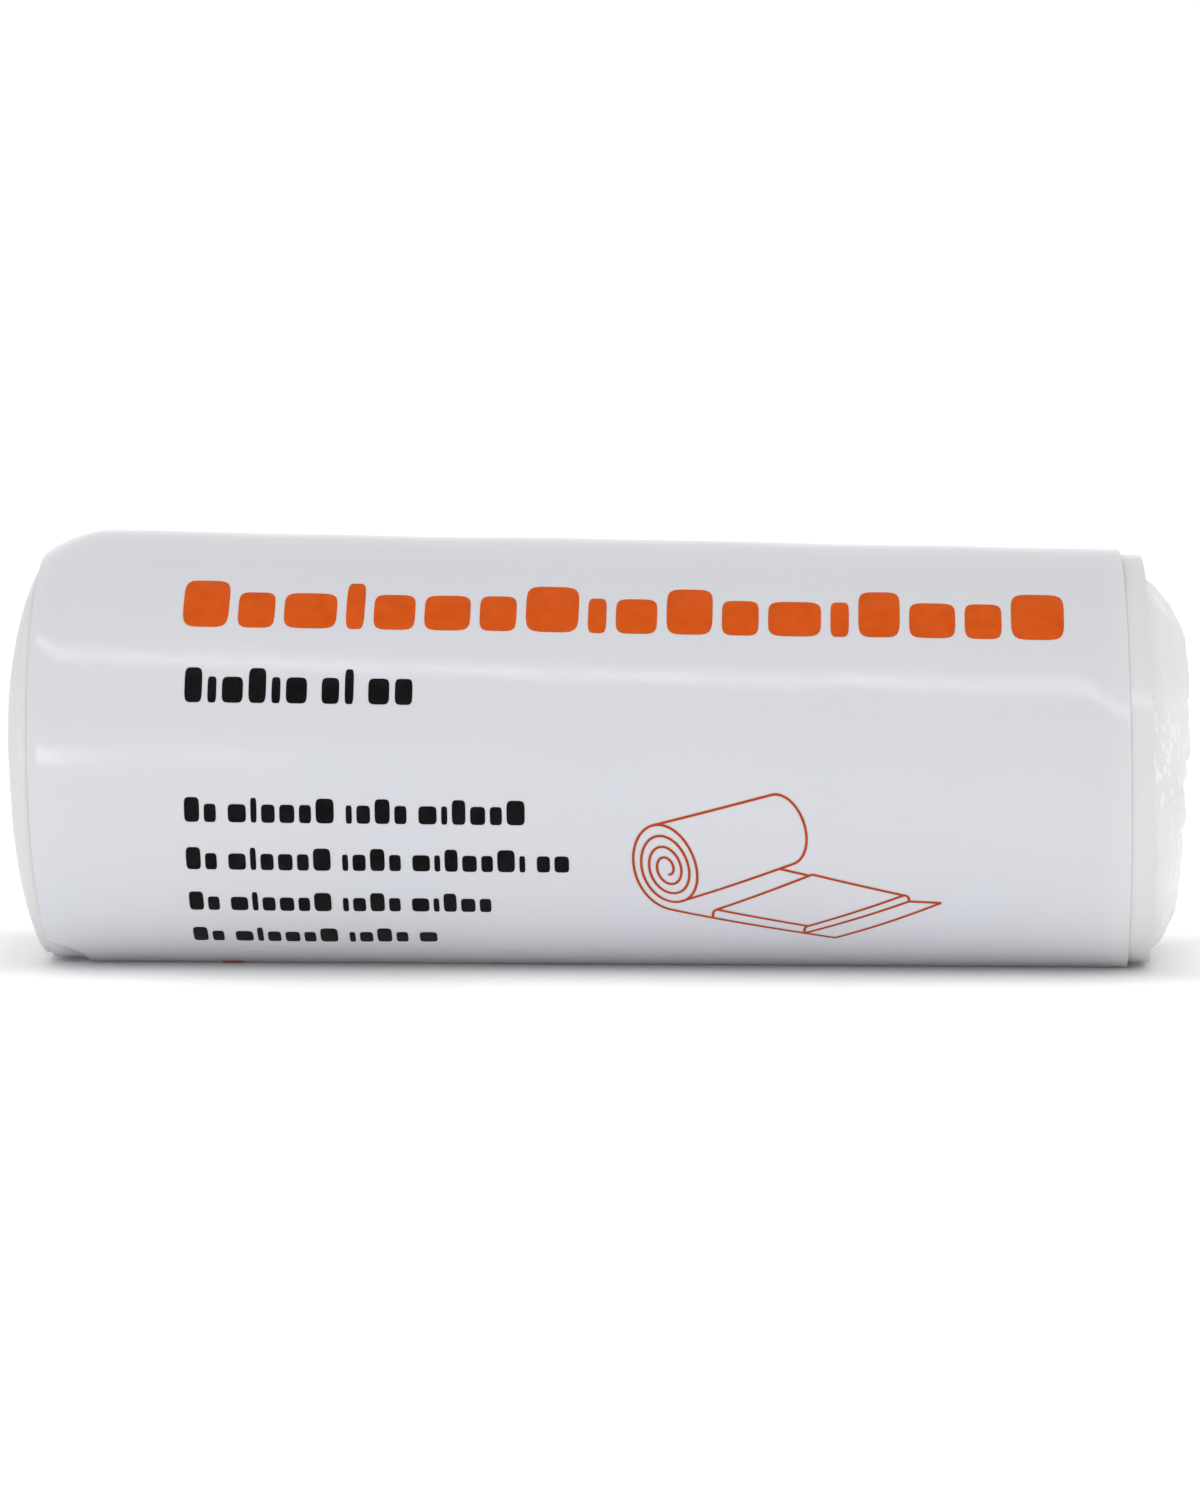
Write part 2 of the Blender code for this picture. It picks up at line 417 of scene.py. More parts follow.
@dataclass(frozen=True)
class MilkyFilm:
    """The inner film: thin, milky and partly see-through, with painted shade that makes the flat left end
    darker.

    A patch on the front of the right end has painted glints: small bright spots painted into its colour where
    sharp folds would shine.
    """

    colour: Triple = (0.77, 0.77, 0.77)
    # Painted shade: colour of the left end, darker than the right end's.
    left_shade_colour: Triple = (0.65, 0.65, 0.655)
    # Painted glints: bright spots painted into the colour, in a patch about a point on the right end.
    painted_glint_colour: Triple = (0.87, 0.87, 0.87)
    glint_middle: Triple = (39 * MM, -11.5 * MM, 15 * MM)
    glint_size: float = 0.5 * MM
    glint_levels: Pair = (0.56, 0.64)
    glint_reach: Pair = (1 * MM, 5.5 * MM)
    dull_share: float = 0.955
    half_blend: float = 10 * MM
    alpha: float = 0.93
    roughness: Pair = (0.24, 0.38)
    ior: float = 1.5
    crease_size: float = 1.6 * MM
    crease_depth: float = 0.022 * MM

    def material(self) -> bpy.types.Material:
        """Builds the film's material.

        Returns:
            The finished material.
        """
        shader = Shader("inner_film")
        patch = shader.spread(shader.noise(3 * self.crease_size, 3))
        duller = tuple(self.dull_share * part for part in self.colour)
        out_of_left_shade = shader.ramp(shader.axis("X"), -self.half_blend, self.half_blend)
        # Painted shade: the colour darkens towards the left end.
        film = shader.blend(out_of_left_shade, self.left_shade_colour, shader.blend(patch, self.colour, duller))
        # Painted glints: bright spots of noise, near one point on the right end.
        glint_spots = shader.ramp(shader.noise(self.glint_size, 2, (1, 1, 0.5)), *self.glint_levels)
        painted_glints = shader.math("MULTIPLY", glint_spots, shader.near(self.glint_middle, *self.glint_reach))
        inputs = {"Scale": 1 / self.crease_size, "Vector": shader.place}
        cells = shader.add("ShaderNodeTexVoronoi", inputs, feature="F1", distance="EUCLIDEAN")
        crease = shader.relief(cells.outputs["Distance"], self.crease_depth)
        shader.set(
            # The painted glints laid over the film's colour.
            Base_Color=shader.blend(painted_glints, film, self.painted_glint_colour),
            Roughness=shader.spread(patch, *self.roughness),
            Normal=shader.relief(shader.noise(self.crease_size / 3, 3), self.crease_depth / 4, crease),
            Alpha=self.alpha,
            IOR=self.ior,
        )
        return shader.material


@dataclass(frozen=True)
class Cloth:
    """Woven cloth whose threads follow the sheet: warp along the strip, weft across it."""

    name: str
    light: Triple
    dark: Triple
    thread: float
    depth: float
    wave_height: float = 0.7
    roughness: float = 0.92
    sheen: float = 0.25
    sheen_roughness: float = 0.5

    def material(self) -> bpy.types.Material:
        """Builds the cloth's material from the sheet's own lengths.

        Formula: threads are the product of two cosines, one for each direction of the weave.

        Returns:
            The finished material.
        """
        shader = Shader(self.name, "UV")
        warp, weft = (self._threads(shader, shader.axis(name)) for name in ("X", "Y"))
        weave = shader.math("MULTIPLY_ADD", warp, weft, 0.5)
        threads = shader.relief(weave, self.depth)
        shader.set(
            Base_Color=shader.blend(weave, self.dark, self.light),
            Roughness=self.roughness,
            Normal=shader.relief(shader.noise(self.thread / 2, 2), self.depth / 3, threads),
            Sheen_Weight=self.sheen,
            Sheen_Roughness=self.sheen_roughness,
        )
        return shader.material

    def _threads(self, shader: Shader, length: Socket) -> Socket:
        """A cosine with one cycle for each thread along a length."""
        wave = shader.math("COSINE", shader.math("MULTIPLY", length, FULL_TURN / self.thread))
        return shader.math("MULTIPLY", wave, self.wave_height)


@dataclass(frozen=True)
class PrintInk:
    """Ink on the film, with the film's own gloss and a slightly uneven cover."""

    ink: Ink
    roughness: float = 0.32
    gloss: float = 0.06
    patch_size: float = 1.2 * MM
    thin_gain: float = 1.12
    thin_lift: float = 0.004

    def material(self) -> bpy.types.Material:
        """Builds the ink's material.

        Returns:
            The finished material.
        """
        shader = Shader(f"{self.ink.name.lower()}_ink")
        cover = shader.spread(shader.noise(self.patch_size, 3))
        thin = tuple(self.thin_gain * part + self.thin_lift for part in self.ink.value)
        ink = shader.blend(cover, self.ink.value, thin)
        shader.set(Base_Color=ink, Roughness=self.roughness, Specular_IOR_Level=self.gloss)
        return shader.material


@dataclass(frozen=True)
class RollForm:
    """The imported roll's outline: one section, scaled along the roll about the line on the floor."""

    radius: float = 14.65 * MM
    rest_width: float = 7.6 * MM
    end_difference: float = 1.2 * MM
    strip_width: float = 75 * MM
    corner_depth: float = 1.4 * MM
    corner_length: float = 4.4 * MM
    corner_half_angle: float = math.radians(70)
    corner_power: float = 1.8
    flat_fade_share: float = 0.55

    @property
    def half_length(self) -> float:
        """Half of the strip's width, from mid-length to either end."""
        return self.strip_width / 2

    @property
    def axis_height(self) -> float:
        """Height of the axis over the floor at mid-length."""
        return math.sqrt(self.radius**2 - (self.rest_width / 2) ** 2)

    def taper(self, x: Array) -> Array:
        """How much larger the section at x is than the one at mid-length."""
        return 1 - self.end_difference / (2 * self.radius) * x / self.strip_width

    def corner_press(self, x: Array, angle: Array) -> Array:
        """Share of the radius that the pressed-in corner at the top of the left end takes away.

        Formula: a power of the way along the corner, times a smooth bump round the top.

        Args:
            x: place along the roll.
            angle: angle round the roll.

        Returns:
            The share, one for each place.
        """
        along = np.clip((x + self.half_length) / self.corner_length, 0.0, 1.0)
        from_top = np.abs(angle % FULL_TURN - math.pi)
        around = smooth(1 - from_top / self.corner_half_angle)
        return self.corner_depth / self.radius * (1 - along) ** self.corner_power * around

    def outline_radius(self, angle: Array, depth: Array) -> Array:
        """Distance from the axis: a circle with a flat underneath, which fades out towards the core.

        Formula: the smaller of the circle's radius and the flat's distance along the same ray.

        Args:
            angle: angle round the roll.
            depth: depth under the outermost film.

        Returns:
            The distance, one for each place.
        """
        circle = self.radius - depth
        fade = np.clip(1 - depth / (self.flat_fade_share * self.radius), 0.0, 1.0)
        down = np.maximum(np.cos(angle), 1e-6)
        return np.minimum(circle, (circle - (self.radius - self.axis_height) * fade) / down)

    def place(self, x: Array, angle: Array, depth: Array) -> Array:
        """Points at x, at an angle round the roll and a depth under its outside.

        Args:
            x: place along the roll.
            angle: angle round the roll.
            depth: depth under the outermost film.

        Returns:
            Points with x, y and z last.
        """
        x, angle, depth = np.broadcast_arrays(x, angle, depth)
        radius = self.outline_radius(angle, depth) * (1 - self.corner_press(x, angle))
        scale = self.taper(x)
        y = -radius * np.sin(angle) * scale
        z = (self.axis_height - radius * np.cos(angle)) * scale
        return np.stack([x, y, z], axis=-1)


@dataclass
class RolledDressing:
    """The bandage strip and its pad, rolled up together."""

    form: RollForm
    outer_depth: float = 1.65 * MM
    strip_wall: float = 0.26 * MM
    strip_gap: float = 0.12 * MM
    strip_end: float = math.radians(225)
    tail_length: float = 58 * MM
    core_radius: float = 1.5 * MM
    pad_length: float = 120 * MM
    pad_margin: float = 1 * MM
    pad_wall: float = 1.3 * MM
    edge_margin: float = 0.45 * MM
    edge_wander: float = 0.12 * MM
    climb: float = FULL_TURN / 5
    facets: int = 60
    strip_rows: int = 9
    pad_rows: int = 25
    strip_finish: Cloth = Cloth("bandage_cloth", (0.80, 0.77, 0.70), (0.50, 0.47, 0.41), 0.5 * MM, 0.10 * MM)
    pad_finish: Cloth = Cloth("pad_cloth", (0.86, 0.86, 0.84), (0.70, 0.70, 0.68), 0.9 * MM, 0.12 * MM)

    def build(self) -> None:
        """Builds and dresses both pieces, and hides the imported ones they stand in for."""
        wound, depths = self._spiral()
        self._build_strip(wound, depths)
        self._build_pad(wound, depths)

    def _pad_span(self) -> Pair:
        """Angles at which the pad starts and ends, counted inwards from the strip's free end.

        Returns:
            Both angles.
        """
        radius = self.form.radius - self.outer_depth
        start = self.tail_length / radius
        return start, start + self.pad_length / (radius - self.pad_wall)

    def _spiral(self) -> tuple[Array, Array]:
        """Angles counted inwards from the strip's free end, and the strip's depth at each.

        Formula: each turn lies one pitch deeper than the one round it, and a pad's wall deeper
        where the pad is between the two, with a smooth ramp at the pad's ends.

        Returns:
            Angles and depths, as far in as the strip goes.
        """
        steps = np.arange(self.facets) * FULL_TURN / self.facets
        pitch = self.strip_wall + self.strip_gap
        start, end = self._pad_span()
        turns = [self.outer_depth + pitch * steps / FULL_TURN]
        deepest = self.form.radius - self.core_radius - self.strip_wall
        while turns[-1][-1] < deepest:
            wound = steps + FULL_TURN * (len(turns) - 1)
            lift = smooth((wound - start) / self.climb + 1) * smooth((end - wound) / self.climb + 1)
            turns.append(turns[-1] + pitch + lift * (self.pad_wall + self.strip_gap))
        depths = np.concatenate(turns)
        kept = depths <= deepest
        wound = np.arange(len(depths)) * FULL_TURN / self.facets
        return wound[kept], depths[kept]

    def _sheet(self, name: str, rows: Array, wound: Array, depths: Array) -> tuple[Piece, float]:
        """A rolled sheet whose ends wander a little from turn to turn.

        Formula: the wander is a sum of slow sines of the winding angle, and the length is the sum
        of each step of that angle times its radius.

        Args:
            name: name of the piece.
            rows: x of its rows of points.
            wound: angles counted inwards from the strip's free end.
            depths: depth at each angle.

        Returns:
            The sheet and its length when unrolled.
        """
        radius = self.form.radius - depths
        length = np.concatenate([[0.0], np.cumsum(radius[1:] * np.diff(wound))])
        wander = np.sin(wound * 0.37) + np.sin(wound * 0.83 + 1.0) + 0.6 * np.sin(wound * 2.1)
        x = rows[None, :] + self.edge_wander * wander[:, None] / 2
        points = self.form.place(x, (self.strip_end - wound)[:, None], depths[:, None])[::-1]
        uv = np.stack(np.broadcast_arrays(length[::-1, None], rows[None, :]), axis=-1)
        return grid_piece(name, points, uv=uv), float(length[-1])

    def _build_strip(self, wound: Array, depths: Array) -> None:
        """The gauze strip.

        Args:
            wound: angles counted inwards from the strip's free end.
            depths: the strip's depth at each angle.
        """
        half = self.form.half_length - self.edge_margin
        rows = -half + 2 * half * smooth(np.linspace(0, 1, self.strip_rows))
        piece, length = self._sheet("gauze_strip", rows, wound, depths)
        thicken(piece, self.strip_wall)
        settle(piece, self.strip_finish.material())
        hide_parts("bandage_strip")

    def _build_pad(self, wound: Array, depths: Array) -> None:
        """The absorbent pad.

        Args:
            wound: angles counted inwards from the strip's free end.
            depths: the strip's depth at each angle.
        """
        start, end = self._pad_span()
        held = (wound > start) & (wound < end)
        half = self.form.half_length - self.pad_margin
        rows = np.linspace(-half, half, self.pad_rows)
        below = self.strip_wall + self.strip_gap
        piece, _ = self._sheet("wound_pad", rows, wound[held], depths[held] + below)
        thicken(piece, self.pad_wall)
        settle(piece, self.pad_finish.material())
        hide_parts("compress_pad")


@dataclass
class InnerBag:
    """The milky inner film: a sleeve round the roll, drawn together in pleats at both ends."""

    form: RollForm
    depth: float = 0.56 * MM
    wall: float = 0.06 * MM
    left_spare: float = 1.4 * MM
    left_fall: float = 0.75
    left_low: float = 0.2
    left_low_from: float = 0.7
    left_low_growth: float = 1.6
    left_edge: float = 1.3 * MM
    right_spare: float = 3.35 * MM
    right_tuck: float = 1.4 * MM
    tuck_radius: float = 5.0 * MM
    pleat_counts: tuple[int, ...] = (11, 17, 26)
    pleat_depth: float = 0.30 * MM
    swirl: float = math.radians(38)
    crumple_size: float = 3.2 * MM
    crumple_depth: float = 0.075 * MM
    left_calm: float = 0.35
    left_crowding: float = 1.6
    sleeve_reach: Pair = (0.08, 0.97)
    pleat_drift: float = 0.25
    pleat_reach: float = 0.55
    mouth_share: float = 0.14
    end_from: float = -0.8 * MM
    end_blend: float = 1.6 * MM
    small_size: float = 1 / 2.3
    small_height: float = 0.45
    inward_share: float = 0.25
    inward_reach: float = 0.5
    lumps_reach: float = 0.3
    lumps_at_rim: float = 0.25
    shoulder_inset: float = 0.3 * MM
    left_inset: float = 0.2 * MM
    facets: int = 330
    left_rows: int = 44
    right_rows: int = 68
    sleeve_rows: int = 8
    # The right end from its rim to its mouth: share of the roll's radius, and share of the spare
    # length that the film reaches there, above the axis and below it
    radius_shares: tuple[float, ...] = (0.962, 0.91, 0.88, 0.83, 0.74, 0.65, 0.59, 0.50, 0.33, 0.12, 0.0)
    rises_above: tuple[float, ...] = (0.0, 0.02, 0.09, 0.35, 0.66, 0.85, 0.92, 0.97, 1.0, 1.0, 0.97)
    rises_below: tuple[float, ...] = (0.0, 0.35, 0.50, 0.62, 0.77, 0.84, 0.86, 0.87, 0.89, 0.93, 0.97)
    finish: MilkyFilm = field(default_factory=MilkyFilm)

    def build(self) -> None:
        angle = np.linspace(0, FULL_TURN, self.facets, endpoint=False)[:, None]
        blocks = [self._left_end(angle), self._sleeve(), self._right_end(angle)]
        x, distance = (
            np.concatenate([np.broadcast_to(part, (self.facets, part.shape[-1])) for part in parts], axis=1)
            for parts in zip(*blocks)
        )
        x, distance = self._pleated(x, distance, angle)
        points = self.form.place(x, angle, self.form.radius - distance)
        piece = grid_piece("milky_film", points, closed=True)
        close_poles(piece)
        thicken(piece, self.wall, even=False)
        settle(piece, self.finish.material())
        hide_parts("inner_film")
        around = FULL_TURN * self.radius
        reach = self.form.strip_width + self.left_spare + self.right_spare + 2 * self.radius
        around * (reach - self.radius)

    @property
    def radius(self) -> float:
        """Distance of the sleeve from the axis."""
        return self.form.radius - self.depth

    def _left_end(self, angle: Array) -> tuple[Array, Array]:
        """x and distance from the axis over the left end, from its middle out to its rim.

        Formula: a flat end with a quarter-round edge, which is less full the further it is above
        or below the axis, and less full again below it. Rows lie closer together near the rim.

        Args:
            angle: angle round the roll.

        Returns:
            Their values, by angle and row.
        """
        outwards = np.linspace(0, 1, self.left_rows)[None, :-1]
        distance = self.radius * (1 - (1 - outwards) ** self.left_crowding)
        into_edge = np.clip(1 - (self.radius - distance) / self.left_edge, 0, 1)
        height = distance * np.cos(angle) / self.form.radius
        low = smooth(self.left_low_from + self.left_low_growth * height)
        less = self.left_fall * height**2 + self.left_low * low
        full = np.sqrt(1 - into_edge**2) * (1 - less)
        return -(self.form.half_length - self.left_inset + self.left_spare * full), distance

    def _sleeve(self) -> tuple[Array, Array]:
        """x and distance along the sleeve, with its rows close together near the ends.

        Returns:
            Their values, by row.
        """
        half = self.form.half_length
        x = -half + 2 * half * smooth(np.linspace(*self.sleeve_reach, self.sleeve_rows))
        return x[None], np.full_like(x, self.radius)[None]

    def _right_end(self, angle: Array) -> tuple[Array, Array]:
        """x and distance over the right end, from its rim in to its mouth.

        Formula: the shoulder plus the spare length times a rise read from the two rows of shares,
        which are blended by how high on the roll the angle is, less the tuck round the mouth.

        Args:
            angle: angle round the roll.

        Returns:
            Their values, by angle and row.
        """
        spacing = np.linspace(0, 1, self.right_rows)
        distance = self.radius * (1 - 0.5 * spacing - 0.5 * spacing**2)
        share = distance / self.form.radius
        radii = self.radius_shares[::-1]
        above = np.interp(share, radii, self.rises_above[::-1])
        below = np.interp(share, radii, self.rises_below[::-1])
        upper = smooth(0.5 - 0.5 * np.cos(angle))
        tuck = self.right_tuck * smooth(1 - distance / self.tuck_radius)
        shoulder = self.form.half_length - self.shoulder_inset
        return shoulder + self.right_spare * (below + (above - below) * upper) - tuck, distance[None]

    def _pleated(self, x: Array, distance: Array, angle: Array) -> tuple[Array, Array]:
        """Adds the pleats that run to the mouths, and the crumples between them.

        Formula: zigzag waves round the axis, turned by a swirl that grows towards the mouth, with
        a depth that grows from the rim inwards. Crumples are added in space on both ends.

        Args:
            x: place along the roll.
            distance: distance from the axis.
            angle: angle round the roll.

        Returns:
            x and distance with the pleats in them.
        """
        share = distance / self.radius
        turned = angle + np.sign(x) * self.swirl * (1 - share) ** 2
        folds = np.zeros_like(x)
        for number, count in enumerate(self.pleat_counts):
            drift = self.pleat_drift * np.sin((number + 2) * angle + number)
            folds += zigzag(count * turned / FULL_TURN + drift) / len(self.pleat_counts)
        growth = smooth((1 - share) / self.pleat_reach) * smooth(share / self.mouth_share)
        on_end = smooth((np.abs(x) - self.form.half_length - self.end_from) / self.end_blend)
        points = self.form.place(x, angle, self.form.radius - distance)
        facets = crumple(points, self.crumple_size, 5, seed=11)
        small = crumple(points, self.crumple_size * self.small_size, 4, seed=23)
        calm = np.where(x < 0, self.left_calm, 1.0)
        from_rim = smooth((1 - share) / self.lumps_reach + self.lumps_at_rim)
        lumps = self.crumple_depth * (facets + self.small_height * small) * on_end * calm * from_rim
        moved = x + np.sign(x) * (self.pleat_depth * growth * folds * calm + lumps)
        inward = self.inward_share * self.crumple_depth * on_end * (facets - 1)
        return moved, distance + inward * smooth(share / self.inward_reach)


@dataclass
class PrintedWrapper:
    """The glossy printed film: wound over its own start, and drifting left as it goes."""

    form: RollForm
    width: float = 73.4 * MM
    wall: float = 0.05 * MM
    pitch: float = 0.34 * MM
    drift: float = 1.5 * MM
    turns: int = 2
    start: float = math.radians(250)
    overlap: float = math.radians(40)
    wave_depth: float = 0.045 * MM
    waves_along: Pair = (2.1 * MM, 4.7 * MM)
    waves_round: Pair = (9 * MM, 13 * MM)
    calm_from: float = math.radians(16)
    calm_width: float = math.radians(25)
    hug_width: float = math.radians(20)
    top_free: float = math.radians(12)
    hidden_step: float = math.radians(4)
    shown_step: float = math.radians(1.8)
    rows: int = 132
    inner_turn_hug: float = 0.14 * MM
    left_hug: float = 0.42 * MM
    right_hug: float = 0.275 * MM
    left_hug_length: float = 2.4 * MM
    right_hug_length: float = 3.0 * MM
    dent_depth: float = 0.30 * MM
    dent_length: float = 2.6 * MM
    dent_angle: float = math.radians(18)
    dent_half_angle: float = math.radians(14)
    dent_edge: float = 0.22
    free_edge_lift: float = 0.12 * MM
    free_edge_reach: float = math.radians(12)
    finish: GlossyFilm = field(default_factory=GlossyFilm)

    @property
    def end(self) -> float:
        """Winding angle of the film's free edge."""
        return self.start + self.turns * FULL_TURN + self.overlap

    def waves(self, x: Array, angle: Array) -> Array:
        """Soft unevenness of the film over the soft roll, as extra depth, calm where it rests.

        Formula: a sum of sines along and round the roll, less near the floor.

        Args:
            x: place along the roll.
            angle: angle round the roll.

        Returns:
            The extra depth.
        """
        short, long = self.waves_along
        along = np.sin(x / short + 1.3 * np.sin(angle)) + 1.5 * np.sin(x / long + 2 * np.sin(angle + 1))
        short, long = self.waves_round
        round_it = np.sin(3 * angle + x / short) + 0.7 * np.sin(5 * angle - x / long + 1)
        calm = smooth((self._from_floor(angle) - self.calm_from) / self.calm_width)
        return self.wave_depth * (0.35 * along + 0.5 * round_it) * calm

    @staticmethod
    def _from_floor(angle: Array) -> Array:
        """How far round the roll an angle is from the bottom, on either side."""
        return np.abs((angle + math.pi) % FULL_TURN - math.pi)

    def surface(self, x: Array, angle: Array, rise: float = 0.0) -> Array:
        """Points on the film's outer face, or a little over it.

        Formula: the depth of the turn that the winding angle is in, with a smooth ramp where a
        turn climbs over the film's start, plus waves, and drawn in along both rims.

        Args:
            x: place along the roll.
            angle: winding angle.
            rise: height over the film.

        Returns:
            Points with x, y and z last.
        """
        x, angle = np.broadcast_arrays(x, angle)
        turn = (angle - self.start) / FULL_TURN
        level = np.floor(turn) + smooth((turn % 1.0 - 1) / (self.overlap / FULL_TURN) + 1)
        depth = (self.turns - 1 - level) * self.pitch - rise
        left = self.rims(angle)[0]
        hug = self._hug(x, angle, level)
        lift = self.free_edge_lift * smooth(1 - (self.end - angle) / self.free_edge_reach)
        bends = self.waves(x, angle) + hug + self._dent(x - left, angle) - lift
        return self.form.place(x, angle, depth + bends)

    def _hug(self, x: Array, angle: Array, level: Array) -> Array:
        """Depth by which the film's rims are drawn in to what lies under them.

        Formula: a power of the way from the hug's start to each rim, less near the floor and the
        top.

        Args:
            x: place along the roll.
            angle: winding angle.
            level: 0 on the inner turn, 1 on the outer one and 2 on its overlap.

        Returns:
            The extra depth.
        """
        left, right = self.rims(angle)
        from_floor = self._from_floor(angle)
        off_floor = smooth((from_floor - self.calm_from) / self.hug_width)
        off_top = smooth((math.pi - from_floor - self.top_free) / self.calm_width)
        at_left = np.clip(1 - (x - left) / self.left_hug_length, 0, 1) ** 3 * (0.3 + 0.7 * off_top)
        at_right = np.clip(1 - (right - x) / self.right_hug_length, 0, 1) ** 2 * off_top
        turns = [0, 1, 2]
        left_pull = np.interp(level, turns, [self.inner_turn_hug, self.left_hug, self.left_hug + self.pitch])
        right_pull = np.interp(level, turns, [self.inner_turn_hug, self.right_hug, self.right_hug])
        return (left_pull * at_left + right_pull * at_right) * off_floor

    def _dent(self, from_rim: Array, angle: Array) -> Array:
        """Depth of the corner that is pressed in at the left rim, near the floor in front.

        Formula: a half ellipse on the film with a level bottom and a short steep edge.

        Args:
            from_rim: distance from the left rim.
            angle: angle round the roll.

        Returns:
            The extra depth.
        """
        around = ((angle % FULL_TURN) - self.dent_angle) / self.dent_half_angle
        reach = np.sqrt((from_rim / self.dent_length) ** 2 + around**2)
        return self.dent_depth * smooth((1 - reach) / self.dent_edge)

    def rims(self, angle: Array) -> tuple[Array, Array]:
        """x of the film's left and right rims at a winding angle, drifting left with each turn."""
        middle = self.drift * (self.turns - angle / FULL_TURN)
        return middle - self.width / 2, middle + self.width / 2

    def build(self) -> None:
        last_turn = self.end - FULL_TURN - self.overlap
        hidden = np.arange(self.start, last_turn, self.hidden_step)
        count = math.ceil((self.end - last_turn) / self.shown_step)
        angle = np.concatenate([hidden, np.linspace(last_turn, self.end, count)])[:, None]
        left, right = self.rims(angle)
        spacing = np.linspace(0, 1, self.rows)
        share = (0.6 * spacing + 0.4 * smooth(spacing))[None]
        x = left + (right - left) * share
        piece = grid_piece("glossy_wrapper", self.surface(x, angle))
        thicken(piece, self.wall)
        settle(piece, self.finish.material())
        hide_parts("printed_wrapper")
        length = self.form.radius * (self.end - self.start)


@dataclass(frozen=True)
class BlockRow:
    """A row of plain rounded blocks that stands where the pack has a line of text."""

    name: str
    ink: Ink
    left: float
    right: float
    degrees: float
    height: float
    block_share: float = 0.62
    gap_share: float = 0.19
    words: tuple[int, ...] = (2, 6, 4, 7, 3, 5)
    widths: tuple[float, ...] = (1.0, 0.8, 1.2, 0.4, 0.9)
    heights: tuple[float, ...] = (1.0, 0.74, 0.74, 1.0, 0.74, 0.74, 0.74)
    mirrored: bool = False
    word_gap: float = 2.6
    mean_width: float = 0.86

    def spans(self) -> tuple[Array, Array]:
        """Left and right ends of the row's blocks.

        Formula: blocks and gaps as shares of the row's height, with a wider gap after each word,
        all stretched a little so that the last block ends where the row does.

        Returns:
            x of both ends of each block.
        """
        block, gap = self.block_share * self.height, self.gap_share * self.height
        count = max(1, round((self.right - self.left) / (self.mean_width * block + gap)))
        widths = block * np.resize(np.array(self.widths), count)
        word_ends = np.cumsum(np.resize(np.array(self.words), count))
        gaps = gap * np.where(np.isin(np.arange(1, count + 1), word_ends), self.word_gap, 1.0)
        ends = np.cumsum(widths + gaps) - gaps
        stretch = (self.right - self.left) / ends[-1]
        return self.left + stretch * (ends - widths), self.left + stretch * ends


